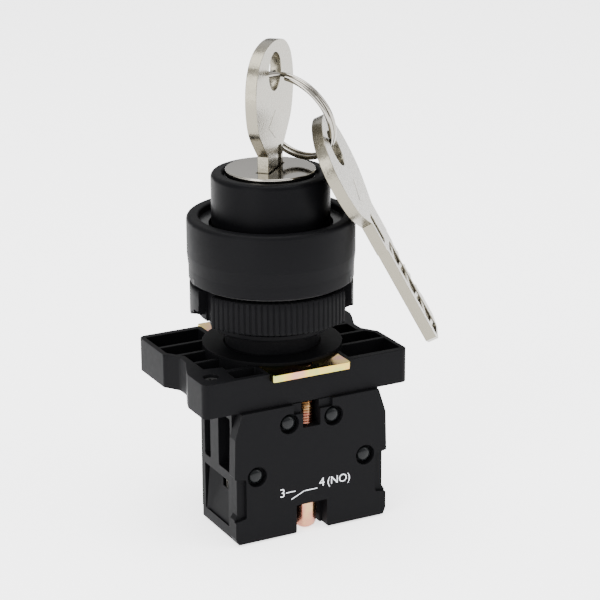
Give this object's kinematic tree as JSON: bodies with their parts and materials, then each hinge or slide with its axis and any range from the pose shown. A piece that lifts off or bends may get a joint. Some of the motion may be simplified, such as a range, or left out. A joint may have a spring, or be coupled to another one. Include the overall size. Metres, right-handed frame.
{
  "type": "selector_key_switch",
  "caption": "Key-operated selector switch: round black bezel head with nickel lock and key, fixing nut, mounting collar and a contact block behind the panel",
  "frame": {"origin": "On the barrel axis at the panel seat, the plane under the bezel where the head rests on the panel face", "axes": "+Z out of the panel towards the user along the barrel axis; -Y faces the labelled side of the contact block; +X along the long side of the mounting collar"},
  "size_m": [0.0495, 0.0309, 0.0848],
  "materials": {
    "black_plastic": "satin moulded",
    "gasket_rubber": "soft matte",
    "zinc_casting": "die cast",
    "brass": "machined",
    "polished_nickel": "bright plated",
    "satin_nickel": "tumbled satin plate",
    "spring_steel": "bright wire",
    "natural_plastic": "moulded acetal",
    "green_plastic": "moulded",
    "passivated_steel": "yellow passivated zinc",
    "silver_contact": "bright"
  },
  "bodies": {
    "switch_body": {"bezel_ring": "black_plastic", "operator_body": "black_plastic", "sealing_gasket": "gasket_rubber", "lock_surround": "black_plastic", "lock_barrel": "zinc_casting", "mounting_collar": "black_plastic", "clamp_plate": "passivated_steel", "collar_clamp_screws": "passivated_steel", "block_housing": "black_plastic", "block_cover": "black_plastic", "cover_studs": "black_plastic", "return_spring": "spring_steel", "terminal_left": "brass", "terminal_right": "brass", "fixed_tips": "silver_contact"},
    "lock_turning": {"lock_plug": "brass", "plug_face": "polished_nickel", "wafers": "brass", "wafer_springs": "spring_steel", "plug_clip": "spring_steel", "cam": "natural_plastic", "cam_screw": "spring_steel"},
    "key_in_lock": {"key": "satin_nickel"},
    "ring_loop": {"split_ring": "polished_nickel"},
    "hanging_key": {"spare_key": "satin_nickel"},
    "nut": {"mounting_nut": "black_plastic"},
    "cam_follower": {"follower": "natural_plastic"},
    "push_rod": {"plunger": "green_plastic"},
    "moving_contact": {"contact_bridge": "brass", "bridge_tips": "silver_contact", "bridge_spring": "spring_steel"},
    "fixing_screw": {"block_screw": "passivated_steel"},
    "terminal_clamps": {"terminal_screws": "passivated_steel", "clamp_washers": "passivated_steel"}
  },
  "joints": [
    {"name": "key_turn", "type": "hinge", "parent": "switch_body", "child": "lock_turning", "pos_m": [0, 0, 0.0194], "axis": [0, 0, -1], "range_deg": [0, 90]},
    {"name": "key_withdraw", "type": "slide", "parent": "lock_turning", "child": "key_in_lock", "axis": [0, 0, 1], "range_m": [0, 0.027]},
    {"name": "ring_swing", "type": "hinge", "parent": "key_in_lock", "child": "ring_loop", "pos_m": [0, 0, 0.0364], "axis": [0.7071, -0.7071, 0], "range_deg": [0, 40]},
    {"name": "spare_key_swing", "type": "hinge", "parent": "ring_loop", "child": "hanging_key", "pos_m": [0.00822, -0.00605, 0.02337], "axis": [0.0462, -0.7049, 0.7078], "range_deg": [0, 25]},
    {"name": "nut_travel", "type": "slide", "parent": "switch_body", "child": "nut", "axis": [0, 0, -1], "range_m": [0, 0.0052]},
    {"name": "follower_stroke", "type": "slide", "parent": "switch_body", "child": "cam_follower", "axis": [0, 0, -1], "range_m": [0, 0.0027]},
    {"name": "plunger_stroke", "type": "slide", "parent": "switch_body", "child": "push_rod", "axis": [0, 0, -1], "range_m": [0, 0.0024], "deforming": ["return_spring"]},
    {"name": "contact_stroke", "type": "slide", "parent": "switch_body", "child": "moving_contact", "axis": [0, 0, -1], "range_m": [0, 0.002], "deforming": ["bridge_spring"]},
    {"name": "block_screw_turn", "type": "hinge", "parent": "switch_body", "child": "fixing_screw", "pos_m": [0, -0.0122, -0.03], "axis": [0, 0, 1], "continuous": true},
    {"name": "terminal_open", "type": "slide", "parent": "switch_body", "child": "terminal_clamps", "axis": [0, 0, -1], "range_m": [0, 0.0012]}
  ],
  "couplings": [
    {"joint": "follower_stroke", "follows": "key_turn", "m_per_rad": 0.0016552},
    {"joint": "plunger_stroke", "follows": "key_turn", "m_per_rad": 0.0014642},
    {"joint": "contact_stroke", "follows": "key_turn", "m_per_rad": 0.0012096}
  ]
}
